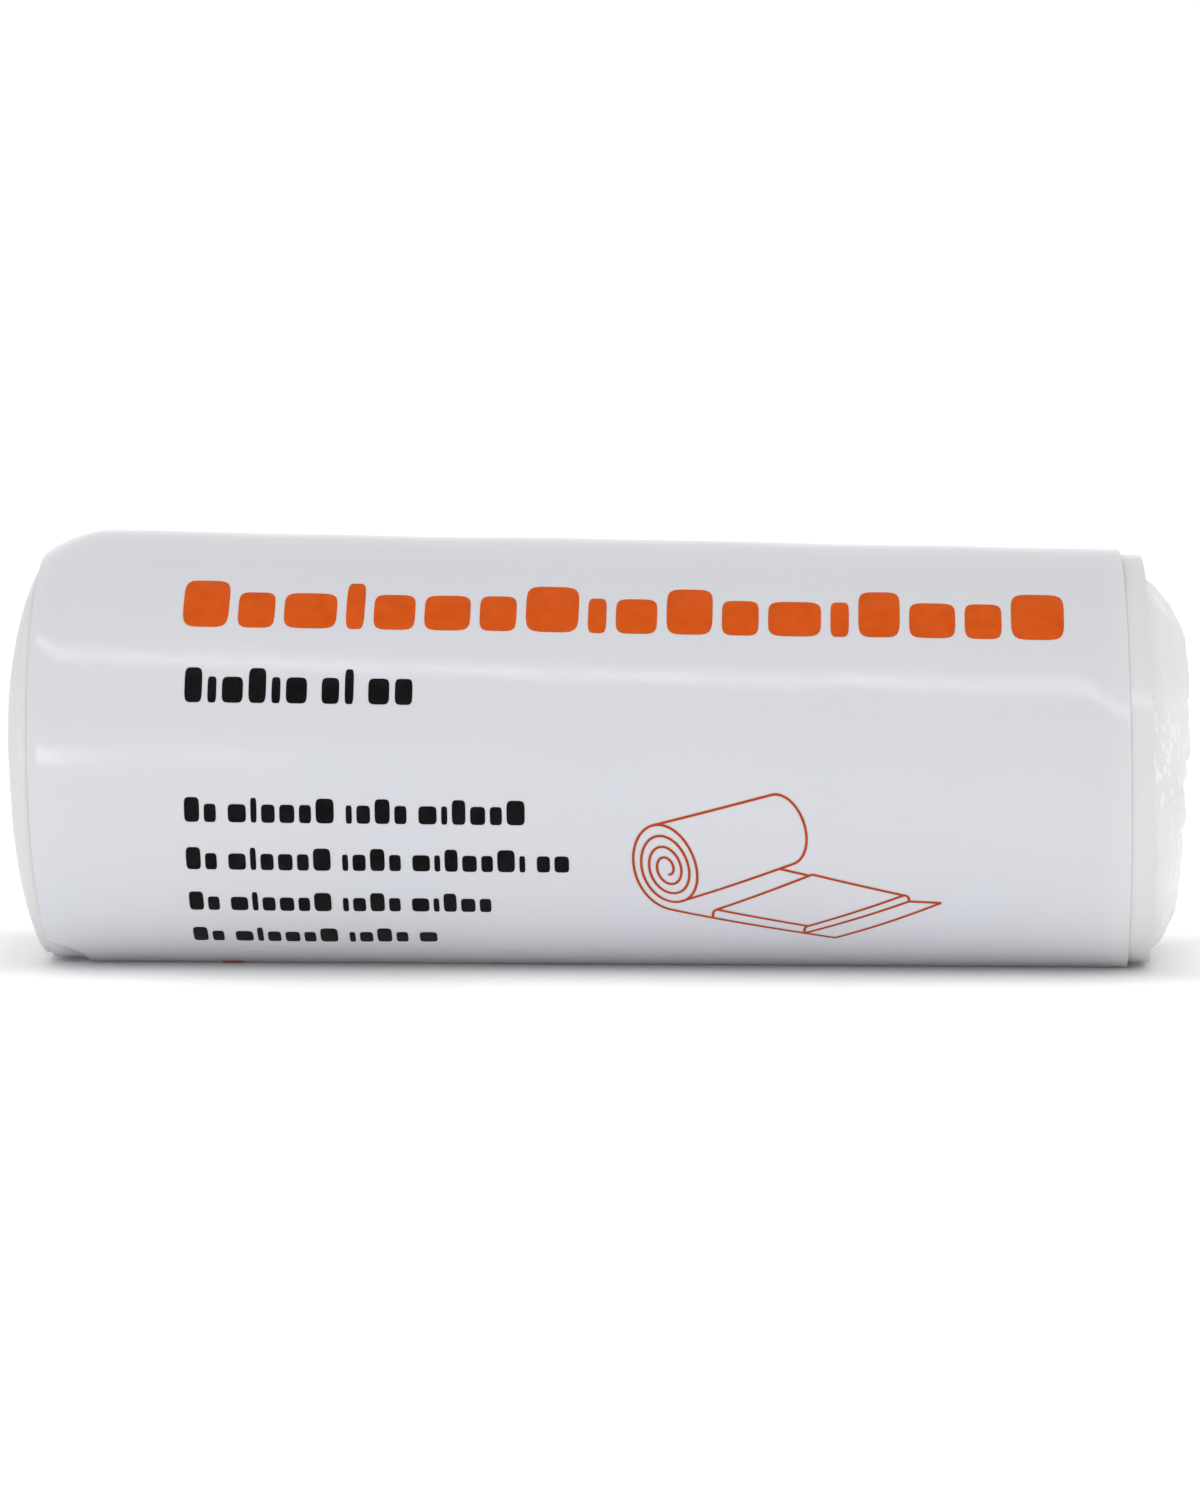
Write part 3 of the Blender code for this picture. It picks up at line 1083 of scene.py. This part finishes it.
@dataclass
class Print:
    """What is printed on the film: plain rows of blocks and a line drawing of an open dressing."""

    wrapper: PrintedWrapper
    margin: float = -26.6 * MM
    title_left: float = -27.0 * MM
    title_right: float = 31.9 * MM
    wide_blocks: tuple[float, ...] = (1.0, 0.8, 1.15, 0.4, 0.9)
    rise: float = 0.022 * MM
    wall: float = 0.012 * MM
    line: float = 0.17 * MM
    roundness: float = 5.0
    figure_left: float = 3.1 * MM
    figure_foot: float = math.radians(33.5)
    # The drawing's own lengths, in its own frame: x to the right, y up round the roll
    end_middle: Pair = (2.45 * MM, 8.15 * MM)
    end_wide: Pair = (2.39 * MM, -0.86 * MM)
    end_tall: Pair = (0.0, 3.50 * MM)
    end_turns: float = 4.014
    end_core: float = 0.117
    tangent_from: float = math.radians(114.6)
    tangent_to: float = math.radians(-65.4)
    last_turn: float = 3.25
    roll_side_share: float = 0.11
    far_middle: Pair = (10.05 * MM, 11.05 * MM)
    far_size: float = 0.70
    along: Pair = (11.01 * MM, -3.05 * MM)
    across: Pair = (7.05 * MM, 3.87 * MM)
    pad_across: Pair = (6.40 * MM, 3.15 * MM)
    pad_up: Pair = (0.23 * MM, 0.84 * MM)
    pad_from: float = 0.256
    pad_to: float = 0.812
    pad_back: float = 1.09
    edge_hidden: float = 0.97
    side_pull: Pair = (-0.08 * MM, 0.7 * MM)
    top_pull: Pair = (0.38 * MM, -0.05 * MM)
    curve_points: int = 12
    stroke_step: float = 0.33 * MM

    def build(self) -> None:
        """Builds and dresses each group of print."""
        for row in self.front_rows() + self.back_rows():
            self._block_row(row)
        self._drawing()

    def front_rows(self) -> list[BlockRow]:
        """The rows on the front: a large orange one, a middle black one, four small ones and a fleck.

        Returns:
            The rows, from the top down.
        """
        sizes = {"degrees": 138, "height": 4.1 * MM, "block_share": 0.73, "gap_share": 0.15}
        blocks = {"words": (99,), "widths": self.wide_blocks}
        title = BlockRow("title_row", Ink.ORANGE, self.title_left, self.title_right, **sizes, **blocks)
        sizes = {"degrees": 113.4, "height": 2.4 * MM, "block_share": 0.54, "gap_share": 0.175}
        blocks = {"words": (6, 2), "widths": (1.0, 0.5, 1.2)}
        size = BlockRow("size_row", Ink.BLACK, self.margin, -11.4 * MM, **sizes, **blocks)
        sizes = {"degrees": 16.6, "height": 0.6 * MM, "block_share": 2.5, "gap_share": 0.5}
        fleck = BlockRow("lower_mark", Ink.ORANGE, -25.2 * MM, -23.7 * MM, widths=(1.0,), **sizes)
        ends = {80.8: -3.9, 67.0: -1.0, 53.0: -6.3, 39.0: -10.1}
        rows = [
            BlockRow(f"text_row_{number}", Ink.BLACK, self.margin, end * MM, degrees, 1.7 * MM)
            for number, (degrees, end) in enumerate(ends.items(), start=1)
        ]
        return [title, size, *rows, fleck]

    def back_rows(self) -> list[BlockRow]:
        """The rows on the back, which the photo doesn't show: one orange and five small black ones.

        Returns:
            The rows, from the top down.
        """
        sizes = {"degrees": 213, "height": 2.6 * MM, "block_share": 0.73, "gap_share": 0.16}
        blocks = {"words": (5, 7), "widths": self.wide_blocks, "mirrored": True}
        rows = [BlockRow("back_title_row", Ink.ORANGE, self.margin, 3 * MM, **sizes, **blocks)]
        for number in range(5):
            name, end, degrees = f"back_text_row_{number + 1}", (26 - 6 * (number % 3)) * MM, 227 + 9 * number
            rows.append(BlockRow(name, Ink.BLACK, self.margin, end, degrees, 1.3 * MM, mirrored=True))
        return rows

    def _on_film(self, x: Array, angle: Array) -> Array:
        """Points over the outer turn of the film, at an angle counted from the bottom.

        Args:
            x: place along the roll.
            angle: angle round the roll.

        Returns:
            Points with x, y and z last.
        """
        turn = np.floor((angle - self.wrapper.start) / FULL_TURN)
        winding = angle + (self.wrapper.turns - 1 - turn) * FULL_TURN
        return self.wrapper.surface(x, winding, self.rise)

    def _block_row(self, row: BlockRow) -> None:
        """One row of blocks as one piece.

        Formula: each block is a square grid drawn in to a rounded rectangle, by dividing each of
        its points' reach along the square by the reach along a curve of a high power.

        Args:
            row: the row.
        """
        left, right = row.spans()
        share = np.resize(np.array(row.heights), len(left))[:, None, None]
        if row.mirrored:
            left, right = -right, -left
        side = np.linspace(-1, 1, 9)
        u, v = np.meshgrid(side, side, indexing="xy")
        reach = np.maximum(np.abs(u), np.abs(v))
        power = (np.abs(u) ** self.roundness + np.abs(v) ** self.roundness) ** (1 / self.roundness)
        held = np.divide(reach, power, out=np.ones_like(reach), where=power > 0)
        middle = (left + right)[:, None, None] / 2
        x = middle + (right - left)[:, None, None] / 2 * u * held
        up = row.height * (share * (v * held + 1) / 2 - 0.5)
        upright = -1 if row.mirrored else 1
        angle = math.radians(row.degrees) + upright * up / self.wrapper.form.radius
        x, angle = np.broadcast_arrays(x, angle)
        points = self._on_film(x, angle)
        one = grid_quads(len(side), len(side))
        quads = (one[None] + (np.arange(len(left)) * side.size**2)[:, None, None]).reshape(-1, 4)
        if row.mirrored:
            quads = quads[:, ::-1]
        piece = mesh_from(row.name, points.reshape(-1, 3), quads)
        thicken(piece, self.wall)
        settle(piece, PrintInk(row.ink).material())

    def _drawing(self) -> None:
        """The line drawing as one piece: each stroke is a ribbon of even width along its path."""
        ribbons = [self._ribbon(path) for path in self._strokes()]
        points = np.concatenate([ribbon.reshape(-1, 3) for ribbon in ribbons])
        starts = np.cumsum([0] + [ribbon.shape[0] * ribbon.shape[1] for ribbon in ribbons[:-1]])
        quads = [grid_quads(*ribbon.shape[:2]) + start for ribbon, start in zip(ribbons, starts)]
        piece = mesh_from("drawing", points, np.concatenate(quads))
        thicken(piece, self.wall)
        settle(piece, PrintInk(Ink.RUST).material())

    def _ribbon(self, path: Array) -> Array:
        """A ribbon on the film along a path in the drawing's frame.

        Formula: the path moved half a line's width to each side, square to its own direction.

        Args:
            path: places in the drawing's frame.

        Returns:
            Two points over the film for each place.
        """
        steps = np.gradient(path, axis=0)
        across = np.stack([steps[:, 1], -steps[:, 0]], axis=-1)
        across /= np.linalg.norm(across, axis=-1, keepdims=True)
        sides = path[:, None] - across[:, None] * (self.line / 2) * np.array([-1.0, 1.0])[None, :, None]
        x = self.figure_left + sides[..., 0]
        angle = self.figure_foot + sides[..., 1] / self.wrapper.form.radius
        return self._on_film(x, angle)

    def _strokes(self) -> list[Array]:
        """Paths of the drawing: a roll with a spiral end, its strip run out, and a pad on the strip.

        Formula: the spiral is a slanted ellipse that grows evenly with each turn. The far end is
        an arc of the same ellipse, between the two places whose tangents run along the roll.

        Returns:
            One path for each stroke.
        """
        far_middle, along, across = (np.array(v) for v in (self.far_middle, self.along, self.across))
        spiral = self._spiral(np.linspace(0.04, self.end_turns, 300))
        tangents = np.array([self.tangent_from, self.tangent_to])
        far_end = far_middle + self.far_size * self._on_ellipse(np.linspace(*tangents, 70))
        near_top, near_foot = self._spiral(self.last_turn + tangents / FULL_TURN)
        foot = spiral[-1]
        tip = foot + along
        straight = [(near_top, far_end[0]), (near_foot, far_end[-1]), (foot, tip), (tip, tip + across)]
        pad_lines, curves, (edge_left, edge_right) = self._pad_strokes(foot)
        roll_side = far_end[-1] + self.roll_side_share * (near_foot - far_end[-1])
        straight += [*pad_lines, (roll_side, edge_left), (edge_right, tip + across)]
        return [spiral, far_end, *curves, *(self._line(a, b) for a, b in straight)]

    def _on_ellipse(self, angle: Array) -> Array:
        """Points of the roll's end about its middle, at angles of a slanted ellipse."""
        wide, tall = np.array(self.end_wide), np.array(self.end_tall)
        return np.cos(angle)[:, None] * wide + np.sin(angle)[:, None] * tall

    def _spiral(self, turns: Array) -> Array:
        """Points of the spiral, by turns from its middle, where it starts at the bottom."""
        growth = self.end_core + (1 - self.end_core) * turns / 4
        return np.array(self.end_middle) + growth[:, None] * self._on_ellipse((turns - 0.25) * FULL_TURN)

    def _pad_strokes(self, foot: Array) -> tuple[list[Stroke], list[Array], Stroke]:
        """Strokes of the pad: a thin slab that lies across the strip, with round corners.

        Args:
            foot: where the strip leaves the roll.

        Returns:
            The straight strokes, the curved ones, and the two places where the pad hides the
            strip's far edge.
        """
        along, across, up = (np.array(v) for v in (self.along, self.pad_across, self.pad_up))
        near, far = foot + self.pad_from * along, foot + self.pad_to * along
        near_up, far_up, back_foot = near + up, far + up, far + self.pad_back * across
        straight = [
            (near_up, near_up + across),
            (near_up, far_up),
            (far_up, far_up + across),
            (far, back_foot),
            (near_up + across, far_up + across),
        ]
        side, top = np.array(self.side_pull), np.array(self.top_pull)
        curves = [
            self._curve(near, near + side, near_up),
            self._curve(far, far + side, far_up),
            self._curve(far_up + across, far_up + across + top, back_foot),
        ]
        return straight, curves, (near_up + self.edge_hidden * across, back_foot)

    def _curve(self, start: Array, pull: Array, end: Array) -> Array:
        """Points of a short curve between two places, pulled towards a third."""
        t = np.linspace(0, 1, self.curve_points)[:, None]
        return (1 - t) ** 2 * start + 2 * t * (1 - t) * pull + t**2 * end

    def _line(self, start: Array, end: Array) -> Array:
        """Points a step apart along a straight stroke."""
        count = max(3, math.ceil(float(np.linalg.norm(end - start)) / self.stroke_step))
        return start + (end - start) * np.linspace(0, 1, count)[:, None]


@dataclass(frozen=True)
class StripLight:
    """A soft strip light, given by x and elevation of its two ends and their distance from the roll.

    Elevations are in degrees over the floor, seen from the roll's axis, in a plane across the roll.
    """

    name: str
    span: Pair
    elevations: Pair
    distance: float
    height: float
    radiance: float
    axis_height: float = 14.7 * MM

    def build(self) -> None:
        """Builds the light, facing the roll and hidden from the camera."""
        ends = [self._end(x, elevation) for x, elevation in zip(self.span, self.elevations)]
        middle = (ends[0] + ends[1]) / 2
        along = ends[1] - ends[0]
        back = (middle - Vector((middle.x, 0, 0))).normalized()
        back = (back - back.project(along)).normalized()
        side = along.normalized()
        up = back.cross(side)
        lamp = bpy.data.lights.new(self.name, "AREA")
        lamp.shape = "RECTANGLE"
        lamp.size, lamp.size_y = along.length, self.height
        lamp.energy = self.radiance * math.pi * along.length * self.height
        item = bpy.data.objects.new(self.name, lamp)
        item.matrix_world = Matrix.Translation(middle) @ Matrix((side, up, back)).transposed().to_4x4()
        item.visible_camera = False
        bpy.context.scene.collection.objects.link(item)

    def _end(self, x: float, elevation: float) -> Vector:
        """One end of the strip."""
        up = math.radians(elevation)
        return Vector((x, -math.cos(up) * self.distance, math.sin(up) * self.distance + self.axis_height))


@dataclass
class Studio:
    """A pale floor that sweeps up far away and glows with painted light, a white room and two soft strip
    lights.
    """

    floor_radius: float = 1.5
    sweep_radius: float = 3.5
    sweep_height: float = 1.0
    floor_colour: Triple = (0.92, 0.92, 0.92)
    # Painted light: the floor's glow, dim under the roll as a painted contact shadow, strongest beside it and
    # softer far away.
    painted_shadow_glow: float = 0.02
    glow_beside: float = 0.28
    glow_far: float = 0.18
    beside_from: float = 5 * MM
    beside_to: float = 15 * MM
    far_from: float = 25 * MM
    far_to: float = 80 * MM
    footprint: float = 34 * MM
    room_left: float = 0.885
    room_right: float = 0.985
    rays: int = 128
    flat_rings: tuple[float, ...] = (0.001, 0.05, 0.2, 0.8)
    sweep_rings: int = 24
    floor_roughness: float = 0.9
    strips: tuple[StripLight, ...] = (
        StripLight("upper_strip", (-0.56, 0.30), (86.0, 29.5), distance=0.55, height=0.042, radiance=2.9),
        StripLight("front_strip", (-0.40, -0.08), (-2.0, -2.0), distance=0.45, height=0.12, radiance=3.2),
    )

    def build(self) -> None:
        """Builds the floor, the room's light and the strips."""
        self._floor()
        self._room()
        for strip in self.strips:
            strip.build()

    def _floor(self) -> None:
        """A round floor that rises at its edge, with painted light: it glows a little, most of all beside the
        roll, and least under it as a painted contact shadow.

        Formula: rings of points, level out to the floor's radius and then raised along a ramp
        that starts and ends level.
        """
        angle = np.linspace(0, FULL_TURN, self.rays, endpoint=False)[:, None]
        sweep = np.linspace(self.floor_radius, self.sweep_radius, self.sweep_rings)
        radius = np.concatenate([self.flat_rings, sweep])[None]
        out = (radius - self.floor_radius) / (self.sweep_radius - self.floor_radius)
        height = self.sweep_height * smooth(out)
        points = np.broadcast_arrays(radius * np.cos(angle), radius * np.sin(angle), height)
        points = np.stack(points, axis=-1)
        quads = grid_quads(*points.shape[:2], closed=True)[:, ::-1]
        floor = mesh_from("studio_floor", points.reshape(-1, 3), quads)
        shader = Shader("studio_floor")
        beside = shader.math("ABSOLUTE", shader.axis("Y"))
        past_end = shader.math("SUBTRACT", shader.math("ABSOLUTE", shader.axis("X")), self.footprint)
        far = shader.math("MAXIMUM", beside, past_end)
        # Painted light: glow that is dim under the roll, as a painted contact shadow, and bright beside it.
        glow = shader.ramp(far, self.beside_from, self.beside_to, self.painted_shadow_glow, self.glow_beside)
        fade = shader.ramp(far, self.far_from, self.far_to, 1.0, self.glow_far / self.glow_beside)
        shader.set(
            Base_Color=(*self.floor_colour, 1),
            Roughness=self.floor_roughness,
            Emission_Color=(1, 1, 1, 1),
            Emission_Strength=shader.math("MULTIPLY", glow, fade),
        )
        floor.data.materials.append(shader.material)

    def _room(self) -> None:
        """White light from all round, a little stronger from the right."""
        world = bpy.data.worlds.new("white_room")
        world.use_nodes = True
        nodes, links = world.node_tree.nodes, world.node_tree.links
        way = nodes.new("ShaderNodeTexCoord")
        split = nodes.new("ShaderNodeSeparateXYZ")
        links.new(way.outputs["Generated"], split.inputs["Vector"])
        ramp = nodes.new("ShaderNodeMapRange")
        ramp.inputs["From Min"].default_value = -1
        ramp.inputs["To Min"].default_value = self.room_left
        ramp.inputs["To Max"].default_value = self.room_right
        links.new(split.outputs["X"], ramp.inputs["Value"])
        background = nodes["Background"]
        background.inputs["Color"].default_value = (1, 1, 1, 1)
        links.new(ramp.outputs["Result"], background.inputs["Strength"])
        bpy.context.scene.world = world


@dataclass
class PhotoCamera:
    """The camera at the photo's angle: in front, a little to the right and a little above."""

    foot: float = 16.8 * MM
    aim: Vector = field(default_factory=lambda: Vector((0.53 * MM, 0.0, 14.31 * MM)))
    distance: float = 409 * MM
    elevation: float = math.radians(7)
    pixel: float = 0.06872 * MM
    picture_height: int = 1500
    sensor: float = 36.0

    def build(self) -> None:
        """Builds the camera and makes it the scene's own."""
        data = bpy.data.cameras.new("photo_camera")
        data.sensor_fit = "VERTICAL"
        data.sensor_height = self.sensor
        data.lens = self.distance / self.pixel * self.sensor / self.picture_height
        data.clip_start = 0.01
        camera = bpy.data.objects.new("photo_camera", data)
        away = self.distance * math.cos(self.elevation)
        place = Vector((self.foot, -away, self.aim.z + self.distance * math.sin(self.elevation)))
        camera.location = place
        camera.rotation_euler = (self.aim - place).to_track_quat("-Z", "Y").to_euler()
        bpy.context.scene.collection.objects.link(camera)
        bpy.context.scene.camera = camera


def main() -> None:
    """Builds the dressing from the inside out, then the studio and the camera."""
    logging.basicConfig(level=logging.INFO, format="%(name)s: %(message)s")
    bpy.context.scene.view_settings.view_transform = "Standard"
    PhotoCamera().build()
    form = RollForm()
    RolledDressing(form).build()
    InnerBag(form).build()
    wrapper = PrintedWrapper(form)
    wrapper.build()
    Print(wrapper).build()
    Studio().build()


if __name__ == "__main__":
    main()
